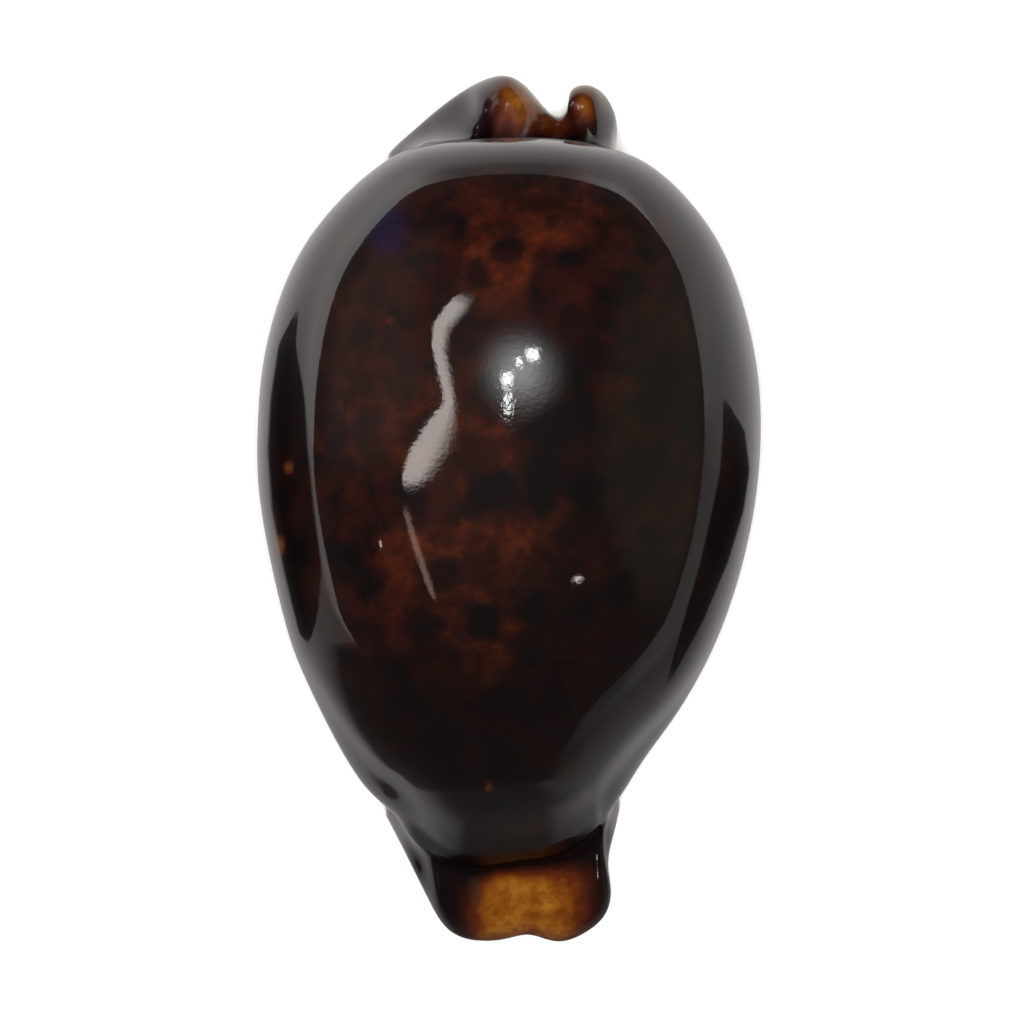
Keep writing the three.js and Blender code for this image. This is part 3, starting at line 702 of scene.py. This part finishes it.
def ground_glow():
    """What the gloss sees of the ground: brighter behind the shell than in front of it, most of all on
    the left, with a shaded wedge straight ahead and another straight behind.

    The sheet is a grid whose lines lie close together near the shell and far apart away from it."""
    lines = np.sinh(np.linspace(-1, 1, GROUND_LINES) * GROUND_SPREAD) / math.sinh(GROUND_SPREAD) * FLOOR_REACH
    x, y = np.meshgrid(lines, lines)
    from_front = mix(0.42, 0.85, ease_step(-20, 60, y))
    by_snout = 0.12 * ease_step(20, 12, np.hypot(x - 1, y + 30)) * ease_step(6, 10, np.abs(x))
    ahead = -y + 0.3 * np.minimum(x, 60)
    shade = mix(0.85, 0.5, ease_step(8, 22, x)) * ease_step(20, 42, ahead) * ease_step(110, 60, np.abs(x))
    beyond = 0.8 * ease_step(30, 140, 0.8 * y - 0.6 * x)
    behind = 0.75 * ease_step(30, 160, y) * ease_step(0.55, 0.15, np.abs(x) / np.maximum(y, 1))
    light = (from_front + beyond) * (1 - shade) * (1 - behind) + by_snout
    points = np.stack([x.ravel(), y.ravel(), np.full(x.size, -0.1)], axis=1)
    sheet = make_mesh("ground_in_gloss", points, grid_faces(*x.shape))
    give(sheet, "glow", light.ravel())
    sheet.data.materials.append(glow_material("ground_glow", "#f3efec", "glow"))
    only_seen_by(sheet, glossy=True)


def mirror_reader(shell):
    """Where the gloss looks from a pixel of the photograph.

    Returns a function that takes pixels, averages the upward-facing skin points around each with a
    bell-shaped weight, and gives the point with the direction that the camera's ray bounces to."""
    mesh = shell.data
    points = np.empty(len(mesh.vertices) * 3)
    mesh.vertices.foreach_get("co", points)
    normals = np.empty(len(mesh.vertices) * 3)
    mesh.vertices.foreach_get("normal", normals)
    upper = slice(0, 1 + COLUMNS * sum(ROWS_IN_SPAN[:EDGE_RING]))
    points = points.reshape(-1, 3)[upper] / MM
    normals = normals.reshape(-1, 3)[upper]
    used = np.flatnonzero(normals[:, 2] > READ_SLOPE)[::READ_EVERY]
    points, normals = points[used], normals[used]

    def read(pixels):
        plan = (np.array(pixels, float) - MIDDLE_PIXEL) * [PIXEL, -PIXEL]
        distance = np.linalg.norm(points[None, :, :2] - plan[:, None], axis=2)
        weight = np.exp(-(distance / MIRROR_BLUR) ** 2) + 1e-12
        weight /= weight.sum(axis=1, keepdims=True)
        spot = weight @ points
        normal = weight @ normals
        normal /= np.linalg.norm(normal, axis=1, keepdims=True)
        bounce = 2 * normal[:, 2:] * normal - [0, 0, 1]
        return spot, bounce

    return read


def card(name, read, first_side, second_side, light, soft=(0.04, 0.04, 0.04), distance=None,
         is_round=False):
    """A card that the gloss alone sees, so that its reflection covers a strip of the photograph.

    The strip lies between two lines of pixels, and each of its grid points is carried along the
    bounced ray: to a set distance, or with none given onto the ground beside the shell. It fades to
    clear over the soft shares of its two sides and its ends, or away from its middle if it is round."""
    along = np.linspace(0, 1, CARD_ROWS)
    across = np.linspace(0, 1, CARD_COLUMNS)
    sides = []
    for side in (first_side, second_side):
        marks = np.linspace(0, 1, len(side))
        side_x, side_y = np.array(side).T
        sides.append(np.stack([np.interp(along, marks, side_x), np.interp(along, marks, side_y)], axis=1))
    pixels = mix(sides[0][:, None], sides[1][:, None], across[None, :, None]).reshape(-1, 2)
    spot, bounce = read(pixels)
    if distance is None:
        down = np.minimum(bounce[:, 2], -CARD_LEVEL_SLOPE)
        reach = np.minimum((CARD_LEVEL - spot[:, 2]) / down, CARD_FAR)
    else:
        reach = np.full(len(spot), float(distance))
    thing = make_mesh(name, spot + bounce * reach[:, None], grid_faces(CARD_ROWS, CARD_COLUMNS))
    along, across = np.repeat(along, CARD_COLUMNS), np.tile(across, CARD_ROWS)
    first_soft, second_soft, end_soft = soft
    if is_round:
        cover = ease_step(0.5, 0, np.hypot(along - 0.5, across - 0.5)) ** 2.2
    else:
        cover = (ease_step(0, first_soft, across) * ease_step(1, 1 - second_soft, across)
                 * ease_step(0, end_soft, along) * ease_step(1, 1 - end_soft, along))
    give(thing, "cover", cover)
    thing.data.materials.append(light)
    only_seen_by(thing, glossy=True)


def spot_card(name, read, spot, light, distance, soft=(0.3, 0.3, 0.3), is_round=False):
    """A card whose reflection covers a rectangle or a disc: middle pixel, half width and half height."""
    x, y, half_width, half_height = spot
    left = [(x - half_width, y - half_height), (x - half_width, y + half_height)]
    right = [(x + half_width, y - half_height), (x + half_width, y + half_height)]
    card(name, read, left, right, light, soft, distance, is_round)


def make_cards(shell):
    """Dark cards beside the shell, and above it a bright window, a curtain and patches of dim wall."""
    read = mirror_reader(shell)
    black = card_light("card_black", "#1a1412", 0.3)
    card("left_card", read, LEFT_STRIP_OUTER, LEFT_STRIP_INNER, black)
    card("right_card", read, RIGHT_STRIP_OUTER, RIGHT_STRIP_INNER, black)
    card("front_card", read, FRONT_LEFT_SIDE, FRONT_RIGHT_SIDE,
         card_light("card_brown", "#4a4240", 0.5), (0.03, 0.14, 0.04))
    pane = card_light("window_pane", "#eef4f2", 26)
    for number, spot in enumerate(WINDOW_PANES):
        spot_card(f"window_pane_{number}", read, spot, pane, PANE_DISTANCE)
    spot_card("window_halo", read, WINDOW_HALO,
              card_light("window_halo", "#dfe3e2", 7), HALO_DISTANCE, is_round=True)
    card("curtain", read, CURTAIN_LEFT, CURTAIN_RIGHT,
         card_light("curtain", "#e6ddd6", 9), (0.06, 0.55, 0.1), CURTAIN_DISTANCE)
    card("hem", read, HEM_LEFT, HEM_RIGHT,
         card_light("hem", "#d9b6a4", 3.5), (0.3, 0.5, 0.1), CURTAIN_DISTANCE)
    card("wall_right", read, WALL_RIGHT_INNER, WALL_RIGHT_OUTER,
         card_light("wall_olive", "#a39f8c", 0.42), (0.35, 0.15, 0.25), WALL_DISTANCE)
    card("wall_left", read, WALL_LEFT_OUTER, WALL_LEFT_INNER,
         card_light("wall_rose", "#a6968f", 0.6), (0.15, 0.35, 0.25), WALL_DISTANCE)
    glint = card_light("lamp_glint", "#fff6e8", 16)
    for number, spot in enumerate(GLINTS):
        spot_card(f"glint_{number}", read, spot, glint, LAMP_DISTANCE, is_round=True)


def make_room():
    """A pale floor, a pale backdrop that only the camera sees, and a dim room for the gloss."""
    corners = [[x * FLOOR_REACH, y * FLOOR_REACH, -0.05] for x, y in ((-1, -1), (1, -1), (1, 1), (-1, 1))]
    floor = make_mesh("floor", corners, [[0, 1, 2, 3]])
    floor.data.materials.append(plain_material("floor_white", "#f4f4f2", 0.9))
    floor.visible_glossy = False
    ground_glow()
    turn = np.linspace(0, 2 * np.pi, BACKDROP_SIDES, endpoint=False)
    circle = np.stack([BACKDROP_REACH * np.cos(turn), BACKDROP_REACH * np.sin(turn)], axis=1)
    wall = np.concatenate([ring(circle, -1), ring(circle, BACKDROP_REACH)])
    low = np.arange(BACKDROP_SIDES)
    beside = np.roll(low, -1)
    faces = np.stack([low, beside, beside + BACKDROP_SIDES, low + BACKDROP_SIDES], axis=1)
    backdrop = make_mesh("backdrop", wall, faces.tolist())
    backdrop.data.materials.append(glow_material("backdrop_pale", "#f2f2f0", 1.0))
    only_seen_by(backdrop, camera=True)
    world = bpy.data.worlds.new("room")
    bpy.context.scene.world = world
    world.use_nodes = True
    world.node_tree.nodes["Background"].inputs["Color"].default_value = linear("#5a5452")
    world.node_tree.nodes["Background"].inputs["Strength"].default_value = 0.35


def make_light():
    """A square soft light straight above the shell, which the gloss doesn't see."""
    data = bpy.data.lights.new("top_light", "AREA")
    data.size = LIGHT_SIZE * MM
    data.energy = LIGHT_POWER
    light = bpy.data.objects.new("top_light", data)
    light.location = (0, 0, LIGHT_HEIGHT * MM)
    light.visible_camera = False
    light.visible_glossy = False
    bpy.context.collection.objects.link(light)


make_camera()
shell = make_shell()
make_room()
make_light()
make_cards(shell)
bpy.context.scene.view_settings.view_transform = "Standard"
